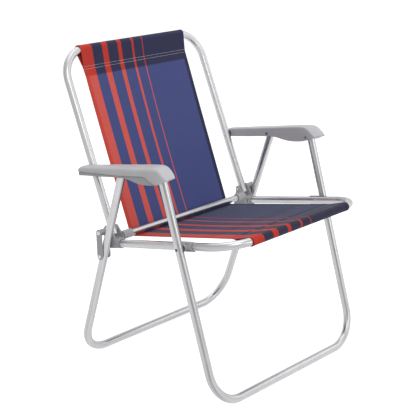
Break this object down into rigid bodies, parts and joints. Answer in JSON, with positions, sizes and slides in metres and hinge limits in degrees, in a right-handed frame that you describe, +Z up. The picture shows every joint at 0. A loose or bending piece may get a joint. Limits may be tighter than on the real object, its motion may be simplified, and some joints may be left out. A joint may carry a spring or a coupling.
{
  "type": "folding lawn chair",
  "caption": "Folding high lawn chair: bent tube frames that fold flat together, a striped cloth sling over back and seat, and moulded armrests.",
  "frame": {"origin": "on the floor, under the middle of the open chair's outline", "axes": "X across the chair, +Y to its back, +Z up; the sitter faces -Y"},
  "size_m": [0.5818, 0.5669, 0.759],
  "materials": {
    "tube": "satin drawn tube",
    "sling": "plain weave in navy with red stripes",
    "hinge_plastic": "moulded mid grey",
    "arm_plastic": "moulded mid grey, satin",
    "washer": "moulded dark grey",
    "rivet": "domed rivet heads"
  },
  "bodies": {
    "seat": {"seat_frame": "tube", "cross_tube": "tube", "seat_sling": "sling", "hinge_bracket_left": "hinge_plastic", "hinge_bracket_right": "hinge_plastic", "hinge_axle_left": "rivet", "hinge_axle_right": "rivet", "leg_spacer_left": "hinge_plastic", "leg_spacer_right": "hinge_plastic", "leg_washer_left": "washer", "leg_washer_right": "washer", "seat_leg_rivet_left": "rivet", "seat_leg_rivet_right": "rivet", "bracket_rivet_left": "rivet", "bracket_rivet_right": "rivet"},
    "back": {"back_frame": "tube", "back_sling": "sling", "arm_back_rivet_left": "rivet", "arm_back_rivet_right": "rivet", "arm_washer_left": "washer", "arm_washer_right": "washer"},
    "front_legs": {"front_leg_frame": "tube"},
    "rear_legs": {"rear_leg_frame": "tube"},
    "armrest_left_body": {"armrest_left": "arm_plastic", "arm_rear_leg_rivet_left": "rivet", "arm_front_leg_rivet_left": "rivet"},
    "armrest_right_body": {"armrest_right": "arm_plastic", "arm_rear_leg_rivet_right": "rivet", "arm_front_leg_rivet_right": "rivet"},
    "link_left_body": {"link_left": "hinge_plastic", "link_outer_rivet_left": "rivet", "link_inner_rivet_left": "rivet"},
    "link_right_body": {"link_right": "hinge_plastic", "link_outer_rivet_right": "rivet", "link_inner_rivet_right": "rivet"}
  },
  "joints": [
    {"name": "back_fold", "type": "hinge", "parent": "seat", "child": "back", "pos_m": [0, 0.1078, 0.34753], "axis": [1, 0, 0], "range_deg": [0, 100]},
    {"name": "left_arm_fold", "type": "hinge", "parent": "back", "child": "armrest_left_body", "pos_m": [0, 0.16277, 0.48603], "axis": [1, 0, 0], "range_deg": [-100.3, 0]},
    {"name": "right_arm_fold", "type": "hinge", "parent": "back", "child": "armrest_right_body", "pos_m": [0, 0.16277, 0.48603], "axis": [1, 0, 0], "range_deg": [-100.3, 0]},
    {"name": "front_leg_fold", "type": "hinge", "parent": "seat", "child": "front_legs", "pos_m": [0, -0.1387, 0.36188], "axis": [1, 0, 0], "range_deg": [0, 90.7]},
    {"name": "rear_leg_fold", "type": "hinge", "parent": "armrest_left_body", "child": "rear_legs", "pos_m": [0, 0.03425, 0.50502], "axis": [1, 0, 0], "range_deg": [0, 56.1]},
    {"name": "left_link_fold", "type": "hinge", "parent": "seat", "child": "link_left_body", "pos_m": [0, 0.1078, 0.34753], "axis": [1, 0, 0], "range_deg": [-76.2, 0]},
    {"name": "right_link_fold", "type": "hinge", "parent": "seat", "child": "link_right_body", "pos_m": [0, 0.1078, 0.34753], "axis": [1, 0, 0], "range_deg": [-76.2, 0]}
  ],
  "couplings": [
    {"joint": "left_arm_fold", "follows": "back_fold", "ratio": -1.002},
    {"joint": "right_arm_fold", "follows": "back_fold", "ratio": -1.002},
    {"joint": "front_leg_fold", "follows": "back_fold", "ratio": 0.9059},
    {"joint": "rear_leg_fold", "follows": "back_fold", "ratio": 0.5604},
    {"joint": "left_link_fold", "follows": "back_fold", "ratio": -0.7608},
    {"joint": "right_link_fold", "follows": "back_fold", "ratio": -0.7608}
  ]
}
